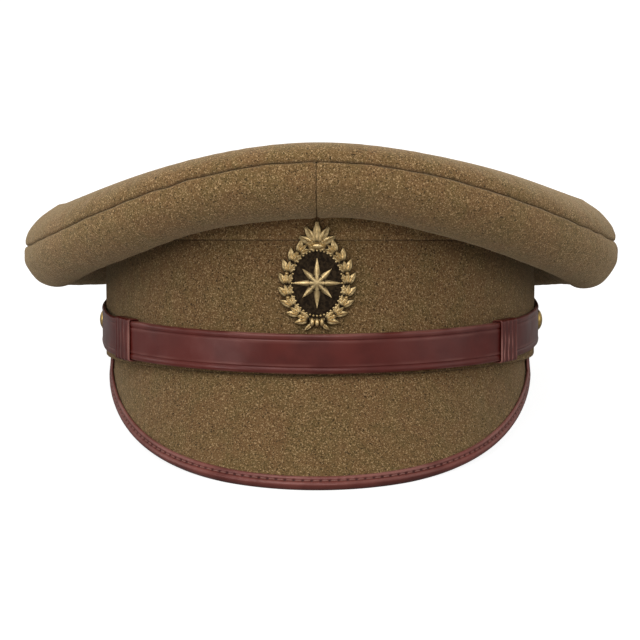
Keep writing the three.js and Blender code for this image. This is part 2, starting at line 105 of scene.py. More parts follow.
# The crown's side from the band's seam round the roll to the crown's seam: how far outside the
# band each row lies and its height, at the front, the side and the rear.
SIDE_ROWS = (
    ((0.3, 54), (0.4, 53), (0.4, 47)),
    ((0.4, 64.2), (3.5, 47), (3, 41)),
    ((5.5, 63.4), (11, 37), (9, 31)),
    ((13, 63.4), (19, 31.6), (16, 25.4)),
    ((21.5, 67.6), (28.3, 33.4), (24.5, 26.8)),
    ((27, 75.5), (34.4, 40.8), (30.5, 33.6)),
    ((27.3, 82.5), (35, 46.4), (31, 38.6)),
    ((25.6, 86), (33.6, 49.4), (29.6, 41.4)),
)
# The crown's edge from that seam to the plate: how far inside the seam each row lies, and its
# rises over the seam at the front, the side and the rear.
TIP_ROWS = (
    (0, 0, 0, 0),
    (-0.8, 2.4, 3, 3),
    (0.6, 4.8, 7, 6.6),
    (5.5, 6.6, 12.6, 10.6),
    (12.5, 6.8, 17.4, 14),
)

# How far the crown sags at the left of its front and stands up at its right side, and how much
# lower its seam runs at the front than in the solids.
CROWN_LEFT_SAG = 2
CROWN_RIGHT_RISE = 1.7
FRONT_SEAM_DROP = 0.9

# Sewn edges turn in along their seams, and the padding fills the cloth out beside the crown's.
SEAM_DEPTH = 0.55
SEAM_WIDTH = 0.45
SEAM_WANDER = 0.16
SEAM_FULLNESS = (1.0, 0.85, 0.75)
PANEL_SEAM_DEPTH = 0.42
PANEL_SEAM_WIDTH = 0.65
# About how much wider the crown is than the band.
CROWN_SPREAD = 1.25

# How many stations the cloth pieces and the binding have along their length.
RING_STATIONS = 600
SIDE_STATIONS = 356
PEAK_STATIONS = 420
BINDING_STATIONS = 760

# Half the space inside the binding, and the rows of its upper leg, by their distance from the fold.
BINDING_NEAR = PEAK_THICK / 2 + GAP
BINDING_ROWS = (3.4, 3.3, 3.12, 2.8, 2.4, 2.0, 1.75, 1.55, 1.4, 1.3, 1.15, 0.95, 0.7, 0.4, 0)

# The stitches along the peak's binding.
STITCH_PITCH = 3.6
STITCH_INSIDE = 1.35
STITCH_RADIUS = 0.24

# The tooled lines along the straps and across the slides.
CREASE_INSIDE = 2.5
CREASE_DEPTH = 0.22
CREASE_WIDTH = 0.26
SLIDE_CREASES = (-4.3, -1.5, 1.5, 4.3)

# Colours, as linear red, green and blue.
WOOL_GREENER = (0.152, 0.097, 0.035)
# The wool's redder, warm, light and dark flecks: the colour, the noise (how fine, its detail, its
# distortion, its offset), where in it the fleck begins and is full, and the most that it covers.
WOOL_FLECKS = (
    ((0.176, 0.093, 0.037), (0.07, 3, 0.6), 0.38, 0.62, 1),
    ((0.2, 0.116, 0.045), (0.45, 3), 0.35, 0.68, 0.8),
    ((0.52, 0.35, 0.175), (1.8, 2, 0.8), 0.54, 0.66, 0.95),
    ((0.03, 0.018, 0.007), (1.5, 2, 0.6, (31, 7, 3)), 0.54, 0.68, 0.95),
)
WOOL_SHEEN = (0.9, 0.74, 0.5)
NAP_SHEEN = 0.45
# How much darker the band's and the peak's copy of the crown's wool is: painted shade, for the light
# that falls less on them than on the crown.
LOWER_WOOL_PAINTED_SHADE = 0.76
LEATHER = (0.056, 0.005, 0.0036)
LEATHER_LIGHT = (0.09, 0.0108, 0.0075)
# The paler leather of scuffed edges and painted highlights, and the dark painted shade in stitch
# holes.
LEATHER_WORN_AND_LIT = (0.28, 0.12, 0.1)
LEATHER_HOLE_SHADE = (0.012, 0.004, 0.004)
LEATHER_GLOSS = (1, 0.66, 0.62)
BINDING = (0.1, 0.0225, 0.0175)
BINDING_LIGHT = (0.165, 0.045, 0.036)
THREAD_DARK = (0.12, 0.045, 0.035)
THREAD_LIGHT = (0.3, 0.13, 0.1)
BRASS = (0.72, 0.5, 0.17)
BRASS_DULL = (0.46, 0.3, 0.1)
BRONZE = (0.56, 0.4, 0.185)
BRONZE_RUBBED = (0.84, 0.63, 0.32)
BRONZE_DARK = (0.013, 0.008, 0.0045)
BRONZE_STAIN = (0.042, 0.027, 0.014)

# The view, in the cap's frame and in millimetres.
CAMERA_AIM = (-0.2, 0, 17)
CAMERA_DISTANCE = 1350
CAMERA_RISE = math.radians(2.8)
CAMERA_SIDE = math.radians(0.75)
CAMERA_LENS = 174.94
SENSOR = 36

# The camera's range, the floor and the lights, in metres and watts. Each light has its name,
# place, size and power.
CAMERA_RANGE = (0.05, 50)
FLOOR_HALF = 4
FLOOR_DROP = 0.0001
FLOOR_DARKER = (0.28, 0.28, 0.28)
FLOOR_LIGHTER = (0.3, 0.3, 0.3)
FLOOR_GLOW = 0.9
WORLD_LIGHT = 0.53
WORLD_COLOUR = (1, 0.97, 0.92)
LIGHT_AIM = (0, 0, 0.06)
LIGHTS = (
    ("key", (-0.6, -1.0, 1.2), 0.9, 9),
    ("front", (0.2, -1.3, 0.85), 0.5, 3.4),
    ("right", (1.2, -0.6, 0.45), 0.9, 2.4),
    ("left", (-1.05, -0.85, 0.3), 0.35, 1.9),
    ("side", (-1.35, 0.05, 0.3), 0.5, 1.2),
    ("top", (0, 0, 1.3), 1.5, 2.2),
)


def smooth(value, start, end):
    """0 before the start and 1 past the end, whichever of them is the larger."""
    share = np.clip((value - start) / (end - start), 0, 1)
    return share * share * (3 - 2 * share)


def hump(distance, width):
    """1 at no distance, falling smoothly to 0 over about twice the width."""
    return np.exp(-((distance / width) ** 2))


def around(angle, front, side, rear):
    """A value at an angle round the cap, from its front, side and rear values."""
    cosine = np.cos(angle)
    return side + (np.where(cosine > 0, front, rear) - side) * cosine**2


def unit(vectors):
    return vectors / np.linalg.norm(vectors, axis=-1, keepdims=True)


def band_normal(angle):
    x = np.sin(angle) / BAND_HALF_WIDTH
    y = -np.cos(angle) / BAND_HALF_LENGTH
    return unit(np.stack([x, y, np.zeros_like(x)], -1))


def on_oval(angle, out, z):
    """Points on the oval whose half axes are the band's plus "out"."""
    angle, out, z = np.broadcast_arrays(*(np.asarray(v, float) for v in (angle, out, z)))
    x = (BAND_HALF_WIDTH + out) * np.sin(angle)
    y = -(BAND_HALF_LENGTH + out) * np.cos(angle)
    return np.stack([x, y, z], -1)


def off_band(angle, out, z):
    """Points at a true distance outside the band."""
    return on_oval(angle, 0, z) + band_normal(angle) * np.asarray(out)[..., None]


def band_stretch(angle):
    """The length of band that one radian of the oval's angle covers."""
    return np.hypot(BAND_HALF_WIDTH * np.cos(angle), BAND_HALF_LENGTH * np.sin(angle))


def band_bottom(angle):
    """The height of the band's lower edge."""
    return BAND_SIDE_RISE * np.sin(angle) ** 2


def stand(points):
    """Cap points in millimetres as row points in metres, pressed flat where they meet the table."""
    x, y, z = np.moveaxis(np.asarray(points, float), -1, 0)
    cosine, sine = math.cos(LEAN), math.sin(LEAN)
    row = np.stack([x, y * cosine + z * sine + SHIFT, z * cosine - y * sine + LIFT], -1)
    row[..., 2] = np.maximum(row[..., 2], 0)
    return row * MM


def ripples(angle, across, seed, turns, per_mm=0.0):
    """Soft irregular waves of about -1 to 1: turns is the range of waves in one round of the cap,
    per_mm how fast they change across."""
    rng = np.random.default_rng(seed)
    count = 10
    total = 0
    for _ in range(count):
        waves = rng.integers(turns[0], turns[1] + 1)
        slant = rng.normal(0, per_mm)
        total = total + np.sin(waves * angle + slant * across + rng.uniform(0, 2 * np.pi))
    return total / math.sqrt(count)


def spline(rows, shares):
    """The smooth line through rows [..., row, 2] at shares of the way along it."""
    last = rows.shape[-2] - 1
    place = np.clip(shares, 0, 1) * last
    whole = np.floor(place).astype(int)
    weight = (place - whole)[:, None]
    before, here, after, beyond = (
        rows[..., np.clip(whole + step, 0, last), :] for step in (-1, 0, 1, 2)
    )
    slope_in = (after - before) / 2
    slope_out = (beyond - here) / 2
    cubic = (2 * here - 2 * after + slope_in + slope_out) * weight**3
    square = (3 * after - 3 * here - 2 * slope_in - slope_out) * weight**2
    return cubic + square + slope_in * weight + here


def left_of(profile):
    """The unit direction to the left of each point's heading along profiles [..., row, 2]."""
    heading = unit(np.gradient(profile, axis=-2))
    return np.stack([-heading[..., 1], heading[..., 0]], -1)


def run_length(profile):
    """The distance along each profile from its first row."""
    steps = np.linalg.norm(np.diff(profile, axis=-2), axis=-1)
    start = np.zeros(steps.shape[:-1] + (1,))
    return np.concatenate([start, np.cumsum(steps, axis=-1)], -1)


def wall(outer, inner, ring=False):
    """The points and faces of a closed shell between two grids of points [station, row, 3]."""
    stations, rows = outer.shape[:2]
    near = np.arange(stations * rows).reshape(stations, rows)
    far = near + stations * rows
    near_next, far_next = (np.roll(grid, -1, axis=0) for grid in (near, far))
    if not ring:
        near, far, near_next, far_next = (g[:-1] for g in (near, far, near_next, far_next))

    def quads(a, b, c, d):
        return np.stack([g.ravel() for g in (a, b, c, d)], -1)

    faces = [
        quads(near[:, :-1], near_next[:, :-1], near_next[:, 1:], near[:, 1:]),
        quads(far[:, :-1], far[:, 1:], far_next[:, 1:], far_next[:, :-1]),
        quads(near[:, 0], far[:, 0], far_next[:, 0], near_next[:, 0]),
        quads(near[:, -1], near_next[:, -1], far_next[:, -1], far[:, -1]),
    ]
    if not ring:
        first, first_far = near[0], far[0]
        end, end_far = near_next[-1], far_next[-1]
        faces.append(quads(first[:-1], first[1:], first_far[1:], first_far[:-1]))
        faces.append(quads(end[:-1], end_far[:-1], end_far[1:], end[1:]))
    points = np.concatenate([outer.reshape(-1, 3), inner.reshape(-1, 3)])
    return points, [np.concatenate(faces)]


def tube(rings):
    """The points and faces of a solid through rings of points [ring, around, 3], capped by fans."""
    count, sides = rings.shape[:2]
    index = np.arange(count * sides).reshape(count, sides)
    base, step = index[:-1], index[1:]
    turned_base, turned_step = (np.roll(grid, -1, axis=1) for grid in (base, step))
    quads = np.stack([base, turned_base, turned_step, step], -1).reshape(-1, 4)
    points = np.concatenate([rings.reshape(-1, 3), rings[[0, -1]].mean(axis=1)])
    first = np.full(sides, count * sides)
    fans = [
        np.stack([first, np.roll(index[0], -1), index[0]], -1),
        np.stack([first + 1, index[-1], np.roll(index[-1], -1)], -1),
    ]
    return points, [quads, np.concatenate(fans)]


def volume_of(points, faces):
    """Six times the signed volume under the faces."""
    corners = points[faces]
    return sum(
        (corners[:, 0] * np.cross(corners[:, k], corners[:, k + 1])).sum()
        for k in range(1, faces.shape[1] - 1)
    )


def joined(shells):
    """Several shells as one, each turned to face outwards."""
    points, faces, first = [], [], 0
    for shell, groups in shells:
        centred = shell - shell.mean(axis=0)
        inside_out = sum(volume_of(centred, group) for group in groups) < 0
        for group in groups:
            faces += (first + (group[:, ::-1] if inside_out else group)).tolist()
        points.append(shell)
        first += len(shell)
    return np.concatenate(points), faces


def outer_only(values):
    """Values for the points of a wall's outer face, and none for its inner face."""
    return np.concatenate([values.ravel(), 0 * values.ravel()])


def add_object(name, data):
    thing = bpy.data.objects.new(name, data)
    bpy.context.scene.collection.objects.link(thing)
    return thing


def make_piece(name, shells, material, node=None, merge=0.0, attributes=None):
    """A smooth shaded mesh of closed shells, riding on the cap in the place of a solid."""
    points, faces = joined(shells)
    mesh = bpy.data.meshes.new(name)
    mesh.from_pydata(stand(points).tolist(), [], faces)
    for label, values in (attributes or {}).items():
        layer = mesh.attributes.new(label, "FLOAT", "POINT")
        layer.data.foreach_set("value", np.asarray(values, np.float32).ravel())
    mesh.shade_smooth()
    if merge:
        work = bmesh.new()
        work.from_mesh(mesh)
        bmesh.ops.remove_doubles(work, verts=work.verts, dist=merge * MM)
        work.to_mesh(mesh)
        work.free()
    mesh.materials.append(material)
    mesh.validate()
    mesh.update()
    piece = add_object(name, mesh)
    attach(piece, "root")
    if node:
        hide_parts(node)
    return piece


def ring_angles(count):
    return np.linspace(0, 2 * np.pi, count, endpoint=False)


def runs(*stretches):
    """Places along stretches of (start, end, count), each count with the next one's start."""
    places = [np.linspace(*stretch)[:-1] for stretch in stretches[:-1]]
    return np.concatenate([*places, np.linspace(*stretches[-1])])


def finer_ends(start, end, count, close):
    """Places from start to end, with a few close ones near each end at the distances given."""
    close = np.asarray(close)
    body = np.linspace(start + 1.3 * close[-1], end - 1.3 * close[-1], count)
    return np.concatenate([start + close, body, end - close[::-1]])


# Cloth pieces

def felt(angle, across, seed, broad):
    """The cloth's fine unevenness and a broad one of a given height."""
    fine = 0.07 * ripples(angle, across, seed, (20, 90), 0.25)
    return fine + broad * ripples(angle, across, seed + 1, (2, 9), 0.05)


def make_band(material):
    """An upright ring, its lower edge round at the back, where it rests, and sharper in front."""
    angle = ring_angles(RING_STATIONS)[:, None]
    top = around(angle, *BAND_HEIGHT)
    bottom = band_bottom(angle)
    sharp, lip = 0.3, 0.45
    fold = sharp + (BAND_THICK / 2 - sharp) * smooth(np.abs(angle - np.pi), 2.0, 1.5)
    turn = np.radians(np.linspace(0, 90, 8))[None]
    share = np.linspace(0, 1, 26)[None, 1:-1]
    out = np.concatenate([
        fold * (np.sin(turn) - 1) + 0 * angle,
        0 * (share + angle),
        lip * (np.cos(turn) - 1) + 0 * angle,
    ], 1)
    z = np.concatenate([
        bottom + fold * (1 - np.cos(turn)),
        bottom + fold + (top - lip - fold - bottom) * share,
        top - lip + lip * np.sin(turn),
    ], 1)
    # A sewn join closes the band at the back.
    from_back = np.abs(angle - np.pi) * BAND_HALF_WIDTH
    sunk = 0.5 * hump(from_back, 0.8) - 0.12 * hump(from_back - 2.6, 1.6)
    inside = smooth(z, 0, 3) * smooth(top - z, 0, 2)
    outer = off_band(angle, out + (felt(angle, z, 11, 0.12) - sunk) * inside, z)
    inner = off_band(angle, -BAND_THICK - out, z)
    make_piece("band_cloth", [wall(outer, inner, True)], material, "band")


def crown_slant(angle, share):
    """How far the crown's unevenness lifts a point at a share of the way out to its edge."""
    left, right = np.maximum(-np.sin(angle), 0), np.maximum(np.sin(angle), 0)
    # 2.6 brings the deepest place of left**2 * cos to 1.
    sag = CROWN_LEFT_SAG * 2.6 * left**2 * np.cos(angle)
    return (CROWN_RIGHT_RISE * right**4 - sag) * share**2


def seam_wander(angle):
    """How far the crown's seam strays up or down."""
    return SEAM_WANDER * ripples(angle, 0, 21, (9, 60)) - around(angle, FRONT_SEAM_DROP, 0, 0)


def seam_sink(angle, distance):
    """How far the cloth sinks in beside the crown's seam, and puffs up next to it."""
    depth = SEAM_DEPTH * (1 + 0.22 * ripples(angle, 0, 22, (30, 140)))
    puff = 0.1 + 0.12 * ripples(angle, distance, 23, (24, 80), 0.15)
    full = around(angle, *SEAM_FULLNESS) * hump(distance, 2.4)
    return depth * hump(distance, SEAM_WIDTH) - full - puff * hump(distance - 3.2, 2.0)


def panel_seam_sink(distance):
    """The same across the upright seams at the front and back of the crown's side."""
    return PANEL_SEAM_DEPTH * hump(distance, PANEL_SEAM_WIDTH) - 0.28 * hump(distance - 2.9, 1.8)


def crown_faces(angle, profile, push, from_seam):
    """The outer face of padded cloth along profiles round the crown, and the inner face."""
    left = left_of(profile)
    outer = profile - left * push[..., None]
    outer[..., 0] -= seam_sink(angle, from_seam)
    outer[..., 1] += seam_wander(angle) * hump(from_seam, 7)
    return outer, profile + left * CLOTH_THICK


def row_places(row, angle):
    """How far outside the band a row of the crown's side lies round the cap, and its height."""
    return [around(angle, *(place[k] for place in row)) for k in (0, 1)]


def side_profile(angle, shares):
    rows = np.stack([np.stack(row_places(row, angle), -1) for row in SIDE_ROWS], -2)
    rows[..., 0, 1] += SEAM_GAP
    return spline(rows, shares)


def make_crown_side(name, hand, material):
    close = (0, 0.0012, 0.003, 0.005, 0.0075, 0.0105, 0.014, 0.019, 0.025, 0.033, 0.043, 0.055)
    angle = finer_ends(SEAM_ANGLE, np.pi - SEAM_ANGLE, SIDE_STATIONS, close)
    shares = runs((0, 0.05, 9), (0.05, 6 / 7, 44), (6 / 7, 1, 17))
    profile = side_profile(angle, shares)
    length = run_length(profile)
    from_top = length[:, -1:] - length
    column = angle[:, None]
    turn = hand * column

    # Broad unevenness of the padding, a finer one of the cloth, and the seams.
    soft = 0.32 * ripples(turn, length, 31, (2, 11), 0.05)
    fine = 0.06 * ripples(turn, length, 32, (30, 110), 0.3)
    free = smooth(length, 2, 14) * smooth(from_top, 0, 5)
    from_ends = np.minimum(column - angle[0], angle[-1] - column)
    from_panel_seam = from_ends * BAND_HALF_WIDTH * CROWN_SPREAD
    push = (soft + fine) * free - panel_seam_sink(from_panel_seam) * smooth(length, 0, 4)
    outer, inner = crown_faces(turn, profile, push, from_top)
    outer[..., 0] -= 0.25 * hump(length, 0.5)

    # The inner face is mitred where the allowance turns in over the band.
    heading = unit(profile[:, 1] - profile[:, 0])
    along = unit(np.array([1, 0]) + heading)
    reach = CLOTH_THICK / (along * heading).sum(-1, keepdims=True)
    mitre = profile[:, 0] + np.stack([-along[:, 1], along[:, 0]], -1) * reach
    clear_row = 8
    blend = (np.arange(clear_row) / clear_row)[None, :, None]
    inner[:, :clear_row] = mitre[:, None] * (1 - blend) + inner[:, clear_row, None] * blend
    allowance = np.stack([np.full(len(angle), -SEAM_ALLOWANCE), profile[:, 0, 1]], -1)[:, None]
    outer = np.concatenate([allowance, outer], 1)
    inner = np.concatenate([allowance + [0, CLOTH_THICK], inner], 1)

    slant = crown_slant(turn, 1) * smooth(np.append(0, shares), 0.5, 1)
    faces = (on_oval(turn, face[..., 0], face[..., 1] + slant) for face in (outer, inner))
    make_piece(f"{name}_cloth", [wall(*faces)], material, name)


def film(share, angle, front, side, rear):
    """Cloth stretched inside the crown's rim: each wave of the rim's height fades inwards as its
    own power of the share of the way out."""
    level = (front + rear - 2 * side) / 4
    tilt = (front - rear) / 2
    height = side + level * (1 + share**2 * np.cos(2 * angle))
    for n in (1, 3, 5, 7):
        wave = -8 * math.sin(n * math.pi / 2) / (math.pi * n * (n * n - 4))
        height = height + tilt * wave * share**n * np.cos(n * angle)
    return height + CROWN_DOME * (1 - share**2)


def make_crown_top(material):
    angle = ring_angles(RING_STATIONS)
    column = angle[:, None]
    out, z = row_places(SIDE_ROWS[-1], angle)
    rows = np.stack([
        np.stack([out - inside, z + SEAM_GAP + around(angle, *rises)], -1)
        for inside, *rises in TIP_ROWS
    ], -2)
    shares = runs((0, 0.25, 15), (0.25, 1, 27))[:-1]
    edge = spline(rows, shares)
    length = run_length(edge)
    soft = 0.22 * ripples(column, length, 41, (2, 10), 0.04)
    gather = 0.1 * ripples(column, length, 42, (34, 90), 0.03) * hump(length - 7, 7)
    fine = 0.05 * ripples(column, length, 43, (40, 120), 0.3)
    push = (soft + gather + fine) * smooth(length, 0, 5)
    skin, lining = (
        on_oval(column, face[..., 0], face[..., 1] + crown_slant(column, 1))
        for face in crown_faces(column, edge, push, length)
    )

    # The plate inside the padded edge, with the same unevenness fading towards its middle.
    inwards = np.linspace(1, 0, 34)[None]
    plate, *rises = TIP_ROWS[-1]
    rim = [place[1] + SEAM_GAP + rise for place, rise in zip(SIDE_ROWS[-1], rises)]
    middle = on_oval(column, (out - plate)[:, None], 0) * (1 - UP) * inwards[..., None]
    calm = 0.22 * ripples(column, length[:, -1:] + 40 * (1 - inwards), 41, (2, 10), 0.04)
    lumps = 0.25 * np.sin(middle[..., 0] / 17 + 1) * np.sin(middle[..., 1] / 21 + 2)
    height = film(inwards, column, *rim) + crown_slant(column, inwards)
    unevenness = calm * smooth(inwards, 0.1, 1) + lumps * smooth(inwards, 1, 0.8)
    under = middle + (height - CLOTH_THICK)[..., None] * UP
    middle = middle + (height + unevenness)[..., None] * UP
    shell = wall(np.concatenate([skin, middle], 1), np.concatenate([lining, under], 1), True)
    make_piece("crown_top_cloth", [shell], material, "crown_top", merge=0.01)


# The peak and its binding

def peak_line(turn):
    """The lines down the peak at turns along its edge, from -90 degrees at its left end to 90."""
    share = np.abs(np.sin(turn))
    angle = np.arcsin(share * math.sin(PEAK_END_ANGLE)) * np.sign(turn)
    drop = PEAK_DROP * np.cos(turn) + band_bottom(angle)
    slope = PEAK_SLOPE + (PEAK_END_SLOPE - PEAK_SLOPE) * share**2
    out = band_normal(angle)
    down = out * np.cos(slope)[..., None]
    down[..., 2] = -np.sin(slope)
    root = off_band(angle, -PEAK_INSET, band_bottom(angle) - GAP)
    return root, out, down, drop / np.sin(slope)


def peak_point(turn, share):
    root, out, down, length = peak_line(turn)
    fullness = PEAK_FULLNESS * np.cos(turn) * (1 - share) ** 2
    return root + down * (length * share)[..., None] + out * fullness[..., None]


def peak_normal(turn, share):
    step = 1e-3
    along = peak_point(turn + step, share) - peak_point(turn - step, share)
    down = peak_point(turn, share + step) - peak_point(turn, share - step)
    return unit(np.cross(down, along))


def on_peak(point):
    """The points of the peak's upper face level with points close to it, and the normals there."""
    low = np.full(point.shape[:-1], -PEAK_LAST_TURN)
    high = -low
    for _ in range(40):
        middle = (low + high) / 2
        root, out, _, _ = peak_line(middle)
        tangent = np.stack([-out[..., 1], out[..., 0], 0 * out[..., 0]], -1)
        ahead = ((point - root) * tangent).sum(-1) > 0
        low = np.where(ahead, middle, low)
        high = np.where(ahead, high, middle)
    root, _, down, length = peak_line(low)
    share = (point[..., 2] - root[..., 2]) / (down[..., 2] * length)
    return peak_point(low, share), peak_normal(low, share)


def make_peak(material):
    turn = np.linspace(-PEAK_LAST_TURN, PEAK_LAST_TURN, PEAK_STATIONS)[:, None]
    share = np.linspace(0, 1, 42)[None]
    turn, share = np.broadcast_arrays(turn, share)
    face = peak_point(turn, share)
    normal = peak_normal(turn, share)
    calm = smooth(share, 0, 0.15) * smooth(share, 1, 0.9)
    outer = face + normal * (felt(turn, share * PEAK_DROP, 51, 0.16) * calm)[..., None]
    inner = face - normal * PEAK_THICK

    # The allowance turns in under the band and closes the join.
    _, out, _, _ = peak_line(turn[:, :1])
    reach = 2.5 * smooth(PEAK_LAST_TURN - np.abs(turn[:, :1]), 0, 0.12)
    inwards = out * (np.linspace(1, 0.2, 4) * reach)[..., None]
    tucked = outer[:, :1] - inwards + UP * ALLOWANCE_RISE
    outer[:, 0] += UP * ALLOWANCE_RISE
    under = tucked - UP * PEAK_THICK
    outer = np.concatenate([tucked, outer], 1)
    inner = np.concatenate([under, inner], 1)
    make_piece("peak_cloth", [wall(outer, inner)], material, "peak")


def binding_path():
    """Places along the peak's edge with the peak's normal there, its upright ends included."""
    turn = np.linspace(-PEAK_LAST_TURN, PEAK_LAST_TURN, BINDING_STATIONS)
    one, none = np.ones_like(turn), np.zeros(2)
    rise = np.linspace(0, 1, 12)[:-1, None]

    def with_ends(line, ends):
        first, last = (ends[k] * (1 - rise) + line[k] * rise for k in (0, -1))
        return np.concatenate([first, line, last[::-1]])

    ends = turn[[0, -1]]
    place = with_ends(peak_point(turn, one), peak_point(ends, none) - np.array([0, 0, 0.1]))
    face = unit(with_ends(peak_normal(turn, one), peak_normal(ends, none)))
    along = unit(np.gradient(place, axis=0))
    return place, face, unit(np.cross(along, face))


def stitch_places(place):
    """Where the needle went through, as distances along the binding."""
    length = run_length(place)
    count = round(length[-1] / STITCH_PITCH)
    return length, (np.arange(count) + 0.5) * length[-1] / count


def leather_height(inside):
    """How high the binding's leather stands over its inner face, from its pared edge to the fold."""
    pared = 0.45 * hump(BINDING_WIDTH - inside, 0.22)
    sewn_in = 0.3 * hump(inside - STITCH_INSIDE, 0.55)
    rolled = 0.12 * hump(inside - 0.2, 0.5) + 0.1 * hump(inside - 2.4, 0.55)
    return BINDING_THICK - pared - sewn_in + rolled


def make_binding(material, thread):
    place, face, outward = binding_path()
    length, holes = stitch_places(place)
    upper_rows = np.array(BINDING_ROWS)
    lower_rows = upper_rows[::2][::-1]
    from_hole = np.abs(length[:, None] - holes[None]).min(axis=1)[:, None]

    def shades(rows):
        # Painted shade darkens the stitch holes. The inner strip of each leg and a line along the
        # fold are paler, partly from rubbing and partly painted highlight.
        hole_shade = hump(from_hole, 0.5) * hump(rows[None] - STITCH_INSIDE, 0.45)
        worn_and_lit = 0.75 * smooth(rows[None], 1.7, 2.3) + 0.5 * hump(rows[None] - 0.15, 0.4)
        return hole_shade, worn_and_lit + 0 * from_hole

    def leg(rows, side):
        point = place[:, None] - outward[:, None] * rows[None, :, None]
        on, normal = on_peak(point)
        dimple = 0.5 * hump(from_hole, 0.42) * hump(rows[None] - STITCH_INSIDE, 0.38)
        waver = 0.05 * ripples(length[:, None] / 14, rows[None], 61, (3, 30), 0.4)
        height = leather_height(rows)[None] - dimple + waver * smooth(rows[None], 3.4, 2.8)
        middle = on - normal * PEAK_THICK / 2
        heights = (BINDING_NEAR + height, BINDING_NEAR + 0 * height)
        return [middle + side * normal * h[..., None] for h in heights]

    def nose(reach, radius):
        turn = np.radians(np.linspace(90, -90, 13))[1:-1]
        centre = (place - face * PEAK_THICK / 2 + outward * GAP)[:, None]
        out = outward[:, None] * (reach * np.cos(turn))[None, :, None]
        return centre + out + face[:, None] * (radius * np.sin(turn))[None, :, None]

    upper, upper_in = leg(upper_rows, 1)
    lower, lower_in = leg(lower_rows, -1)
    fold = leather_height(0)
    outer = np.concatenate([upper, nose(BINDING_SLACK + fold, BINDING_NEAR + fold), lower], 1)
    inner = np.concatenate([upper_in, nose(BINDING_SLACK, BINDING_NEAR), lower_in], 1)
    bare = np.zeros((len(place), outer.shape[1] - len(upper_rows) - len(lower_rows)))
    hole, worn_and_lit = (
        outer_only(np.concatenate([high, bare, low], 1))
        for high, low in zip(shades(upper_rows), shades(lower_rows))
    )
    make_piece("peak_binding_leather", [wall(outer, inner)], material,
               "peak_binding", attributes={"wear_and_highlight": worn_and_lit, "hole": hole})
    make_stitches(place, outward, thread)


def make_stitches(place, outward, thread):
    """The rows of stitches on the binding's upper and lower legs."""
    length, holes = stitch_places(place)
    stitches = []
    for side in (1, -1):
        for start, end in zip(holes[:-1], holes[1:]):
            along = np.linspace(start + 0.5, end - 0.5, 9)
            spot, way = (
                np.stack([np.interp(along, length, values[:, k]) for k in range(3)], -1)
                for values in (place, outward)
            )
            on, normal = on_peak(spot - unit(way) * STITCH_INSIDE)
            sag = 0.42 * np.linspace(-1, 1, 9) ** 4
            height = BINDING_NEAR + leather_height(STITCH_INSIDE) + 0.06 - sag
            line = on - normal * PEAK_THICK / 2 + side * normal * height[:, None]
            stitches.append(thread_along(line, normal))
    make_piece("peak_binding_stitches", stitches, thread)


def thread_along(line, normal):
    """A short length of thread that tapers where it goes through the leather."""
    heading = unit(np.gradient(line, axis=0))
    across = unit(np.cross(heading, normal))
    up = np.cross(across, heading)
    share = np.linspace(-1, 1, len(line))
    radius = STITCH_RADIUS * (1 - 0.45 * share**6)
    turn = ring_angles(8)[None, :, None]
    ring = across[:, None] * np.cos(turn) + up[:, None] * np.sin(turn)
    return tube(line[:, None] + ring * radius[:, None, None])


# The chin strap, its slides and its buttons

def strap_height(angle):
    share = np.abs(angle) / (math.pi / 2)
    rise = STRAP_RISE_AT_SIDE * share**STRAP_RISE_POWER
    return STRAP_CENTRE_HEIGHT + rise + STRAP_END_RISE * smooth(share, 1, 1.17)


def strap_lift(angle, layer, home):
    """How far off the band a strap's inner face runs: layer 0 lies under, layer 1 over it."""
    at_slides = GAP + SLIDE_THICK + GAP
    slide = np.where(angle < 0, -SLIDE_LEFT_ANGLE, SLIDE_RIGHT_ANGLE)
    turn = np.abs(angle)
    base = GAP + (at_slides - GAP) * smooth(turn, 0.3, slide - 0.12)
    over = layer * (STRAP_THICK + GAP)
    settle = np.where(np.sign(angle) == home, smooth(turn, slide + 0.08, slide + 0.45), 0)
    return (base + over) * (1 - settle) + (GAP + 0.1) * settle


def edge_rows(half, radius, body):
    """Places across a strip from edge to edge with its half thickness there, both edges round."""
    turn = np.radians(np.linspace(0, 90, 7))[:-1]
    side = half - radius + radius * np.cos(turn)
    thick = radius * np.sin(turn)
    across = np.concatenate([-side, body, side[::-1]])
    return across, np.concatenate([thick, np.full(len(body), radius), thick[::-1]])


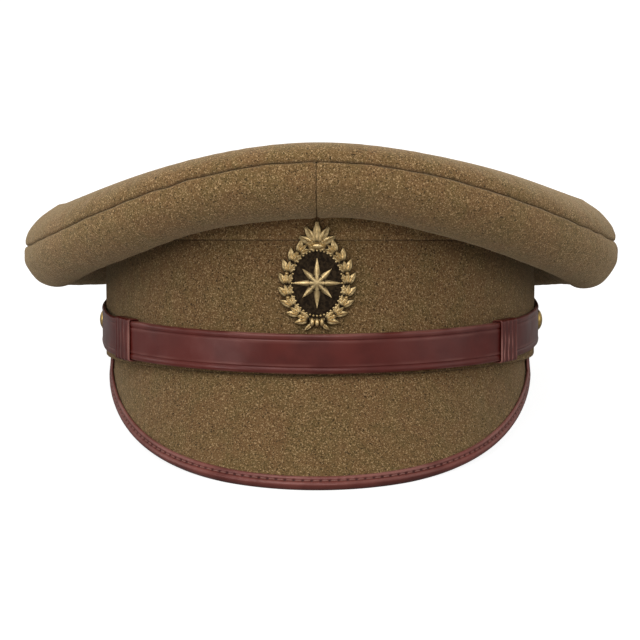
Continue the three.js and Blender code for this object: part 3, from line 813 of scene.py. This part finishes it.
def make_strap(name, layer, home, material):
    half = STRAP_WIDTH / 2
    far_end = (SLIDE_RIGHT_ANGLE if home < 0 else -SLIDE_LEFT_ANGLE) + 0.045
    round_angle = half / band_stretch(STRAP_END_ANGLE)
    turns = np.linspace(-far_end, STRAP_END_ANGLE - round_angle, STRAP_STATIONS)
    tip = np.radians(np.linspace(0, 86, 16))[1:]
    turns = np.concatenate([turns, STRAP_END_ANGLE - round_angle * (1 - np.sin(tip))])
    width = np.concatenate([np.ones(STRAP_STATIONS), np.cos(tip)])[:, None]
    angle = home * turns[:, None]
    crease = half - CREASE_INSIDE
    close = np.array([-0.55, -0.38, -0.22, -0.1, 0, 0.1, 0.22, 0.38, 0.55])
    body = np.concatenate([
        [-7.1, -6.8], -crease + close, np.linspace(-4.8, 4.8, 11), crease + close, [6.8, 7.1],
    ])
    across, thick = edge_rows(half, STRAP_THICK / 2, body)
    middle = strap_lift(angle, layer, home) + STRAP_THICK / 2
    tooled = CREASE_DEPTH * hump(np.abs(across) - crease, CREASE_WIDTH)
    bead = 0.2 * hump(np.abs(across) - (half - 1.2), 0.8)
    cup = 0.1 * (1 - (across / half) ** 2)
    waver = 0.05 * ripples(angle, across[None], 71 + layer, (6, 40), 0.1)
    face = thick - tooled + bead * (thick > 0.3) + cup * thick + waver * (thick > 0.6)
    z = strap_height(angle) + across[None] * width
    outer = off_band(angle, middle + face, z)
    inner = off_band(angle, middle - thick[None], z)
    # The leather's paler marks: edges paler from rubbing and from painted highlight; a painted
    # highlight along the upper strip, which faces the light, and in a line just inside each crease;
    # ends paler from handling and from painted light.
    from_edge = half - np.abs(across)
    top_strip_highlight = 0.2 * smooth(from_edge, CREASE_INSIDE, CREASE_INSIDE - 0.5) * (across > 0)
    handled_and_lit = 0.4 * smooth(np.abs(angle), 1.05, 1.45)
    wear_and_highlight = 0.7 * hump(from_edge, 0.5) + top_strip_highlight + 0.35 * hump(from_edge - 3.3, 0.4) + handled_and_lit
    strap = make_piece(f"{name}_leather", [wall(outer, inner)], material, name,
                       attributes={"wear_and_highlight": outer_only(wear_and_highlight)})
    punch_hole(strap, home * BUTTON_ANGLE)


def punch_hole(strap, angle):
    """The hole that the button's shank goes through."""
    rod = turned(angle, np.full(2, SHANK_HOLE_RADIUS), np.array([-4.0, 8.0]), ring_angles(32))
    punch = make_piece("punch", [tube(rod)], strap.active_material)
    cut = strap.modifiers.new("hole", "BOOLEAN")
    cut.operation = "DIFFERENCE"
    cut.object = punch
    bpy.context.view_layer.objects.active = strap
    bpy.ops.object.modifier_apply(modifier=cut.name)
    bpy.data.objects.remove(punch)


def turned(angle, radius, height, turn):
    """Rings round the line straight out of the band at a button's place."""
    centre = on_oval(angle, 0, strap_height(angle) - BUTTON_DROP)
    normal = band_normal(angle)
    side = np.cross(normal, UP)
    ring = side * np.cos(turn)[:, None] + UP * np.sin(turn)[:, None]
    return centre + normal * height[:, None, None] + ring[None] * radius[:, None, None]


def slide_loop():
    """The path round both straps, as distances off the band and heights, and the ways outwards."""
    in_face = GAP + SLIDE_THICK
    out_face = in_face + GAP + 2 * STRAP_THICK + GAP + GAP
    half = STRAP_WIDTH / 2 + 0.1
    corner = 0.45
    path, way = [], []
    for quarter, sign in enumerate(((1, 1), (-1, 1), (-1, -1), (1, -1))):
        sign = np.array(sign)
        bend = np.radians(np.linspace(0, 90, 7)) + math.radians(90 * quarter)
        direction = np.stack([np.cos(bend), np.sin(bend)], -1)
        tip = np.where(sign > 0, (out_face, half), (in_face, -half))
        path.append(tip - sign * corner + direction * corner)
        way.append(direction)
    # Straight runs between the corners, with points close enough to bend round the band.
    between = np.linspace(0, 1, 12)[1:-1, None]
    loop, outwards = [], []
    for points, following, direction in zip(path, path[1:] + path[:1], way):
        loop += [points, points[-1] * (1 - between) + following[0] * between]
        outwards += [direction, np.repeat(direction[-1:], len(between), axis=0)]
    return np.concatenate(loop), np.concatenate(outwards)


def slide_creases(loop, across):
    """How deep the creases across a slide are, and the pale line beside each one, partly from
    rubbing and partly painted highlight.
    """
    tooled, rubbed_and_lit = 0, 0
    for seed, line in enumerate(SLIDE_CREASES, 81):
        stray = 0.17 * ripples(loop[:, 1:] / 9, 0, seed, (1, 6))
        depth = 0.26 * (1 + 0.4 * ripples(loop[:, 1:] / 9, 0, seed + 10, (2, 9)))
        tooled = tooled + depth * hump(across - line - stray, CREASE_WIDTH)
        rubbed_and_lit = rubbed_and_lit + depth * hump(across - line - stray - 0.55, CREASE_WIDTH)
    return tooled, rubbed_and_lit


def make_slide(name, angle, material):
    """A leather loop round both straps, tooled across with creases."""
    loop, outwards = slide_loop()
    body = np.linspace(-5.4, 5.4, 55)
    across, thick = edge_rows(SLIDE_WIDTH / 2, SLIDE_LEATHER / 2, body)
    plump = sum(0.1 * hump(across - line, 1.0) for line in (-5.2, -2.9, 0, 2.9, 5.2))
    tooled, rubbed_and_lit = slide_creases(loop, across)
    shows = smooth(outwards[:, :1], 0.2, 0.8)
    turn_in = SLIDE_LEATHER / 2
    outer = loop[:, None] + outwards[:, None] * (
        turn_in + thick + (plump - tooled) * shows * (thick > 0.3))[..., None]
    inner = loop[:, None] + outwards[:, None] * (turn_in - thick)[None, :, None]
    slant = (strap_height(angle + 0.01) - strap_height(angle - 0.01)) / 0.02
    here = across / band_stretch(angle)

    def place(section):
        z = strap_height(angle) + slant * here + section[..., 1]
        return off_band(angle + here, section[..., 0], z)

    # Paler edges from rubbing, and the pale lines beside the creases, partly from rubbing and partly
    # painted highlight.
    wear_and_highlight = 1.3 * hump(SLIDE_WIDTH / 2 - np.abs(across), 0.5) + 5 * rubbed_and_lit * shows
    make_piece(f"{name}_leather", [wall(place(outer), place(inner), True)], material,
               name, attributes={"wear_and_highlight": outer_only(wear_and_highlight)})


def make_button(name, angle, material):
    """A plain domed button with a rolled rim, its shank through the strap."""
    back = STRAP_THICK + 2 * GAP + 0.1
    rim = 0.55
    bend = np.radians(np.linspace(-90, 90, 13))
    dome = np.radians(np.linspace(12, 88, 20))
    radius = np.concatenate([
        [SHANK_RADIUS * 0.2, SHANK_RADIUS, SHANK_RADIUS, 2.2, 4.2],
        BUTTON_RADIUS - rim + rim * np.cos(bend),
        (BUTTON_RADIUS - rim - 0.15) * np.cos(dome),
    ])
    height = np.concatenate([
        [GAP, GAP, back, back, back + 0.05],
        back + rim + rim * np.sin(bend),
        back + rim + (BUTTON_DOME - rim) * np.sin(dome),
    ])
    shell = tube(turned(angle, radius, height, ring_angles(72)))
    make_piece(f"{name}_brass", [shell], material, name)


# The badge

def on_badge(x, y, depth):
    """Points at a place on the badge's face and a depth in front of its back."""
    return off_band(x / band_stretch(0), BADGE_OFF_BAND + depth, BADGE_HEIGHT + y)


def leaf(x, y, heading, length, width, bottom, top, blunt=0.0):
    """A pointed leaf with a midrib, side veins and a tip that curls up. Returns a shell and how
    bright each of its points is."""
    along = np.linspace(0, 1, 22)[:, None]
    across = np.linspace(-1, 1, 13)[None]
    shape = np.sin(np.pi * np.clip(along, 0.02, 0.985 - 0.1 * blunt) ** (0.85 + 0.5 * blunt))
    half = width * 0.46 * shape**0.8
    veins = 0.05 * np.sin(26 * along - 5 * np.abs(across)) * (1 - across**2)
    rib = 0.22 * hump(across, 0.13) - 0.17 * hump(np.abs(across) - 0.3, 0.16)
    dome = (1 - across**2) ** 0.55
    lift = 0.55 + 0.3 * np.sin(np.pi * along) + 0.15 * along
    depth = bottom + (top - bottom) * (0.34 + 0.5 * dome * lift) + (rib + veins) * shape
    cosine, sine = math.cos(heading), math.sin(heading)
    far, side = along * length, across * half
    x, y = x + far * cosine - side * sine, y + far * sine + side * cosine
    bright = np.clip(0.16 + 0.9 * dome * lift + 1.5 * (rib + veins), 0, 1)
    bright = bright * smooth(along, 0.0, 0.3)
    return wall(on_badge(x, y, depth), on_badge(x, y, bottom + 0 * depth)), outer_only(bright)


def bead(x, y, half_x, half_y, bottom, top, bright=1.0):
    """An oval bead that stands up from the plate."""
    turn = ring_angles(20)[None]
    rise = np.radians(np.concatenate([[-90], np.linspace(0, 84, 9)]))[:, None]
    reach = np.maximum(np.cos(rise), 0.03)
    depth = np.where(rise < 0, bottom, bottom + 0.3 + (top - bottom - 0.3) * np.sin(rise))
    reach = np.where(rise < 0, 1.0, reach)
    rings = on_badge(x + half_x * reach * np.cos(turn), y + half_y * reach * np.sin(turn),
                     depth + 0 * turn)
    shell = tube(rings)
    shine = np.broadcast_to(bright * np.clip(np.sin(rise) * 1.2, 0, 1), rings.shape[:2]).ravel()
    return shell, np.concatenate([shine, [0, bright]])


def badge_plate():
    """The back plate, grained, with a raised rim."""
    turn = ring_angles(160)[None]
    share = np.concatenate([[0.02], np.linspace(0.1, 0.9, 22), [0.94, 0.97, 0.99, 1.0]])[:, None]
    rim = 0.25 * hump(share - 0.95, 0.035)
    grain = 0.05 * np.sin(150 * share + 3 * np.sin(9 * turn)) * np.sin(48 * turn)
    depth = 0.95 + rim + grain * smooth(share, 1, 0.9)
    x, y = BADGE_PLATE[0] * share * np.cos(turn), BADGE_PLATE[1] * share * np.sin(turn)
    rings = np.concatenate([on_badge(x, y, depth), on_badge(x[-1:], y[-1:], 0)])
    shine = np.clip(0.18 + 2.2 * rim + 2 * grain, 0, 1)
    return tube(rings), np.concatenate([shine.ravel(), np.zeros(turn.size + 2)])


def badge_star():
    """A star of eight ridged points."""
    turn = ring_angles(16)
    reach = np.array([10.2, 3.8, 8.2, 3.8] * 4)
    tall = np.array([1.5, 1.25] * 8)
    share = np.array([0.05, 1, 1])[:, None]
    depth = np.stack([np.full(16, 2.75), tall, np.full(16, 0.5)])
    rings = on_badge(share * reach * np.sin(turn), share * reach * np.cos(turn), depth)
    shine = np.stack([np.full(16, 0.7), np.array([1, 0.35] * 8), np.zeros(16)])
    return tube(rings), np.concatenate([shine.ravel(), [0.7, 0]])


def badge_rosette():
    """A small eight-petalled boss in the middle of the star."""
    turn = ring_angles(96)[None]
    share = np.concatenate([[0.02], np.linspace(0.06, 1, 20), [1.0]])[:, None]
    petals = np.abs(np.cos(4 * turn)) ** 0.6
    edge = 1 - 0.1 * (1 - petals)
    eye = hump(share, 0.26)
    bowl = 0.5 * smooth(share, 0.22, 0.6) * smooth(share, 1.02, 0.75)
    depth = 1.75 + 0.75 * eye + bowl * (0.35 + 0.65 * petals)
    depth[-1] = 0.5
    rings = on_badge(3.5 * share * edge * np.cos(turn), 3.5 * share * edge * np.sin(turn), depth)
    shine = np.clip((depth - 1.6) / 0.9, 0, 1)
    return tube(rings), np.concatenate([shine.ravel(), [1, 0]])


def badge_ties():
    """A few turns of ribbon where the wreath's stems cross."""
    foot = -BADGE_PLATE[1]
    parts = [bead(x, foot + 0.05 * x**2, 1.05, 2.1, 0.1, 2.5, 0.95) for x in (-1.9, 0, 1.9)]
    for hand in (-1, 1):
        heading = math.pi / 2 - hand * 2.3
        parts.append(leaf(hand * 1.6, foot - 0.2, heading, 4.6, 2.2, 0.1, 1.8))
    return parts


def make_badge(material):
    parts = [badge_plate(), badge_star(), badge_rosette()]
    for hand in (-1, 1):
        for number, place in enumerate(np.linspace(-1.32, 1.2, 9)):
            x = hand * BADGE_WREATH[0] * math.cos(place)
            y = BADGE_WREATH[1] * math.sin(place)
            across, up = BADGE_PLATE[0] * math.sin(place), BADGE_PLATE[1] * math.cos(place)
            heading = math.atan2(up, -hand * across)
            for lean, *sizes in WREATH_LEAVES:
                parts.append(leaf(x, y, heading + hand * lean, *sizes))
            if number % 2:
                parts.append(bead(x * 1.02, y * 1.02, 0.85, 0.85, 0.6, 2.7))
    for turn in ring_angles(44):
        parts.append(bead(9.9 * math.cos(turn), 13.1 * math.sin(turn), 0.55, 0.55, 0.8, 1.75, 0.8))
    fan = BADGE_PLATE[1] - 0.8
    for lean in np.linspace(-1.1, 1.1, 5):
        parts.append(leaf(0, fan, math.pi / 2 - lean, 9.6 - 1.6 * abs(lean), 4, 0.1, 2.4, 1.0))
    parts.append(bead(0, fan, 2.6, 1.8, 0.1, 2.8))
    parts += badge_ties()
    shells, shines = zip(*parts)
    badge = make_piece("badge_bronze", shells, material, "badge",
                       attributes={"relief": np.concatenate(shines)})
    badge.data.set_sharp_from_angle(angle=math.radians(38))


# Materials

def new_material(name):
    material = bpy.data.materials.new(name)
    material.use_nodes = True
    tree = material.node_tree
    return material, tree, tree.nodes["Principled BSDF"]


def set_input(socket, value):
    if isinstance(value, bpy.types.NodeSocket):
        socket.id_data.links.new(value, socket)
    elif socket.type == "RGBA":
        socket.default_value = (*value, 1)
    else:
        socket.default_value = value


def set_inputs(node, values):
    for label, value in values.items():
        set_input(node.inputs[label], value)


def in_millimetres(tree, offset):
    """The place on the object in millimetres, as texture coordinates."""
    place = tree.nodes.new("ShaderNodeTexCoord")
    mapping = tree.nodes.new("ShaderNodeMapping")
    scale = [1 / MM] * 3
    values = {"Location": offset, "Scale": scale, "Vector": place.outputs["Object"]}
    set_inputs(mapping, values)
    return mapping.outputs["Vector"]


def noise(tree, per_mm, detail=2.0, distortion=0.0, offset=(0, 0, 0)):
    texture = tree.nodes.new("ShaderNodeTexNoise")
    values = {"Scale": per_mm, "Detail": detail, "Distortion": distortion}
    set_inputs(texture, values | {"Vector": in_millimetres(tree, offset)})
    return texture.outputs["Fac"]


def spread(value, low, high, start=0.0, end=1.0):
    """A value from low to high turned smoothly into start to end."""
    node = value.id_data.nodes.new("ShaderNodeMapRange")
    node.interpolation_type = "SMOOTHSTEP"
    ends = {"From Min": low, "From Max": high, "To Min": start, "To Max": end}
    set_inputs(node, {"Value": value} | ends)
    return node.outputs["Result"]


def mixed(share, first, second):
    node = share.id_data.nodes.new("ShaderNodeMix")
    node.data_type = "RGBA"
    set_input(node.inputs["Factor"], share)
    colours = [s for s in node.inputs if s.type == "RGBA"]
    set_input(colours[0], first)
    set_input(colours[1], second)
    return next(s for s in node.outputs if s.type == "RGBA")


def product(first, second):
    node = first.id_data.nodes.new("ShaderNodeMath")
    node.operation = "MULTIPLY"
    set_input(node.inputs[0], first)
    set_input(node.inputs[1], second)
    return node.outputs[0]


def flecked(ground, colour, texture, low, high, most=1.0):
    """The ground, covered with a colour where a texture passes from low to high."""
    return mixed(spread(texture, low, high, 0, most), ground, colour)


def bumps(shader, *layers):
    """Bump layers, each of a height socket and how tall its full range is in millimetres."""
    node = None
    for height, tall in layers:
        below = {"Normal": node.outputs["Normal"]} if node else {}
        node = height.id_data.nodes.new("ShaderNodeBump")
        set_inputs(node, {"Distance": tall * MM, "Height": height} | below)
    set_input(shader.inputs["Normal"], node.outputs["Normal"])


def attribute(tree, name):
    node = tree.nodes.new("ShaderNodeAttribute")
    node.attribute_name = name
    return node.outputs["Fac"]


def wool_material(name, shade):
    """Milled wool: a flecked khaki mixture, redder and greener in places, with a soft nap."""
    material, tree, shader = new_material(name)

    # Every colour is darkened by the shade, which below 1 is painted shade; the nap's sheen is
    # lessened with it.
    def shaded(colour):
        return [c * shade for c in colour]

    colour = shaded(WOOL_GREENER)
    for fleck, texture, *cover in WOOL_FLECKS:
        colour = flecked(colour, shaded(fleck), noise(tree, *texture), *cover)
    set_inputs(shader, {
        "Base Color": colour,
        "Roughness": 0.95,
        "Specular IOR Level": 0.15,
        "Sheen Weight": NAP_SHEEN * shade**2,
        "Sheen Roughness": 0.5,
        "Sheen Tint": WOOL_SHEEN,
    })
    bumps(shader, (noise(tree, 0.6, 2), 0.2), (noise(tree, 2.2, 3, 1.0), 0.2))
    return material


def leather_material(name, base, light):
    """Polished red-brown leather, cloudy, paler along its creases and edges, partly from rubbing and
    partly painted highlight, and darkened with painted shade in its stitch holes.
    """
    material, tree, shader = new_material(name)
    colour = flecked(base, light, noise(tree, 0.06, 3, 0.3), 0.3, 0.7)
    colour = flecked(colour, light, noise(tree, 0.9, 3), 0.58, 0.75, 0.3)
    # In broad patches the marked places turn paler: rubbing and painted highlight.
    rubbed_and_lit = spread(noise(tree, 0.05, 2, offset=(40, 0, 0)), 0.36, 0.64, 0.1, 0.85)
    worn_and_lit = product(attribute(tree, "wear_and_highlight"), rubbed_and_lit)
    colour = mixed(worn_and_lit, colour, LEATHER_WORN_AND_LIT)
    # The stitch holes are darkened with painted shade.
    set_inputs(shader, {
        "Base Color": mixed(attribute(tree, "hole"), colour, LEATHER_HOLE_SHADE),
        "Roughness": spread(noise(tree, 0.08, 2), 0.3, 0.7, 0.33, 0.4),
        "Specular Tint": LEATHER_GLOSS,
        "Specular IOR Level": 0.5,
        "Coat Weight": 0.06,
        "Coat Roughness": 0.28,
    })
    bumps(shader, (noise(tree, 0.12, 1), 0.25), (noise(tree, 2.6, 2, 0.3), 0.014))
    return material


def thread_material():
    """Waxed red-brown thread, a little paler than the leather."""
    material, tree, shader = new_material("binding_thread")
    twist = noise(tree, 3.5, 1)
    colour = mixed(twist, THREAD_DARK, THREAD_LIGHT)
    set_inputs(shader, {"Base Color": colour, "Roughness": 0.55})
    bumps(shader, (twist, 0.08))
    return material


def brass_material():
    material, tree, shader = new_material("button_brass")
    set_inputs(shader, {
        "Base Color": flecked(BRASS, BRASS_DULL, noise(tree, 0.6, 4), 0.35, 0.7),
        "Metallic": 1,
        "Roughness": spread(noise(tree, 1.2, 3), 0.3, 0.7, 0.2, 0.36),
    })
    return material


def bronze_material():
    """Antique bronze, dark in its hollows and bright where its raised relief is polished by
    handling.
    """
    material, tree, shader = new_material("badge_bronze")
    relief = attribute(tree, "relief")
    stain = spread(noise(tree, 0.8, 4, 0.5), 0.35, 0.65)
    low = mixed(stain, BRONZE_DARK, BRONZE_STAIN)
    high = mixed(stain, BRONZE_RUBBED, BRONZE)
    set_inputs(shader, {
        "Base Color": flecked(low, high, relief, 0.28, 1.0),
        "Metallic": 0.9,
        "Roughness": spread(relief, 0.2, 1.0, 0.62, 0.33),
    })
    bumps(shader, (noise(tree, 3.5, 3), 0.05))
    return material


def floor_material():
    """White as the camera sees it, a mid grey for the light that it gives back."""
    material, tree, shader = new_material("white_floor")
    rays = tree.nodes.new("ShaderNodeLightPath")
    set_inputs(shader, {
        "Base Color": mixed(noise(tree, 0.02, 2), FLOOR_DARKER, FLOOR_LIGHTER),
        "Roughness": 0.9,
        "Emission Color": (1, 1, 1),
        "Emission Strength": product(rays.outputs["Is Camera Ray"], FLOOR_GLOW),
    })
    return material


# The view, the floor and the light

def make_camera():
    """The photo's view of the cap, which leans back with the cap."""
    lean = Matrix.Rotation(-LEAN, 3, "X")
    level = Matrix.Rotation(math.pi / 2 - CAMERA_RISE, 3, "X")
    turn = lean @ Matrix.Rotation(CAMERA_SIDE, 3, "Z") @ level
    aim = lean @ Vector(CAMERA_AIM) + Vector((0, SHIFT, LIFT))
    place = aim + turn @ Vector((0, 0, CAMERA_DISTANCE))
    data = bpy.data.cameras.new("camera")
    data.lens = CAMERA_LENS
    data.sensor_width = SENSOR
    data.clip_start, data.clip_end = CAMERA_RANGE
    camera = add_object("camera", data)
    camera.matrix_world = Matrix.Translation(place * MM) @ turn.to_4x4()
    bpy.context.scene.camera = camera


def make_floor():
    mesh = bpy.data.meshes.new("floor")
    corners = [(-1, -1), (1, -1), (1, 1), (-1, 1)]
    points = [(x * FLOOR_HALF, y * FLOOR_HALF, -FLOOR_DROP) for x, y in corners]
    mesh.from_pydata(points, [], [(0, 1, 2, 3)])
    mesh.materials.append(floor_material())
    floor = add_object("floor", mesh)


def make_world():
    world = bpy.data.worlds.new("world")
    world.use_nodes = True
    sky = world.node_tree.nodes["Background"]
    sky.inputs["Color"].default_value = (*WORLD_COLOUR, 1)
    sky.inputs["Strength"].default_value = WORLD_LIGHT
    scene = bpy.context.scene
    scene.world = world
    scene.view_settings.view_transform = "Standard"


def make_lights():
    for name, place, size, power in LIGHTS:
        data = bpy.data.lights.new(name, "AREA")
        data.size, data.energy = size, power
        light = add_object(name, data)
        light.location = place
        towards = Vector(LIGHT_AIM) - Vector(place)
        light.rotation_euler = towards.to_track_quat("-Z", "Y").to_euler()


make_camera()
make_world()
make_floor()
make_lights()

crown_wool = wool_material("crown_wool", 1)
# The band and the peak take the crown's wool darkened as painted shade.
painted_shade_wool = wool_material("painted_shade_wool", LOWER_WOOL_PAINTED_SHADE)
leather = leather_material("brown_leather", LEATHER, LEATHER_LIGHT)
binding_leather = leather_material("binding_leather", BINDING, BINDING_LIGHT)
brass = brass_material()
make_band(painted_shade_wool)
make_crown_side("crown_side_left", -1, crown_wool)
make_crown_side("crown_side_right", 1, crown_wool)
make_crown_top(crown_wool)
make_peak(painted_shade_wool)
make_binding(binding_leather, thread_material())
make_strap("chin_strap_upper", 1, -1, leather)
make_strap("chin_strap_lower", 0, 1, leather)
make_slide("strap_slide_left", SLIDE_LEFT_ANGLE, leather)
make_slide("strap_slide_right", SLIDE_RIGHT_ANGLE, leather)
make_button("button_left", -BUTTON_ANGLE, brass)
make_button("button_right", BUTTON_ANGLE, brass)
make_badge(bronze_material())
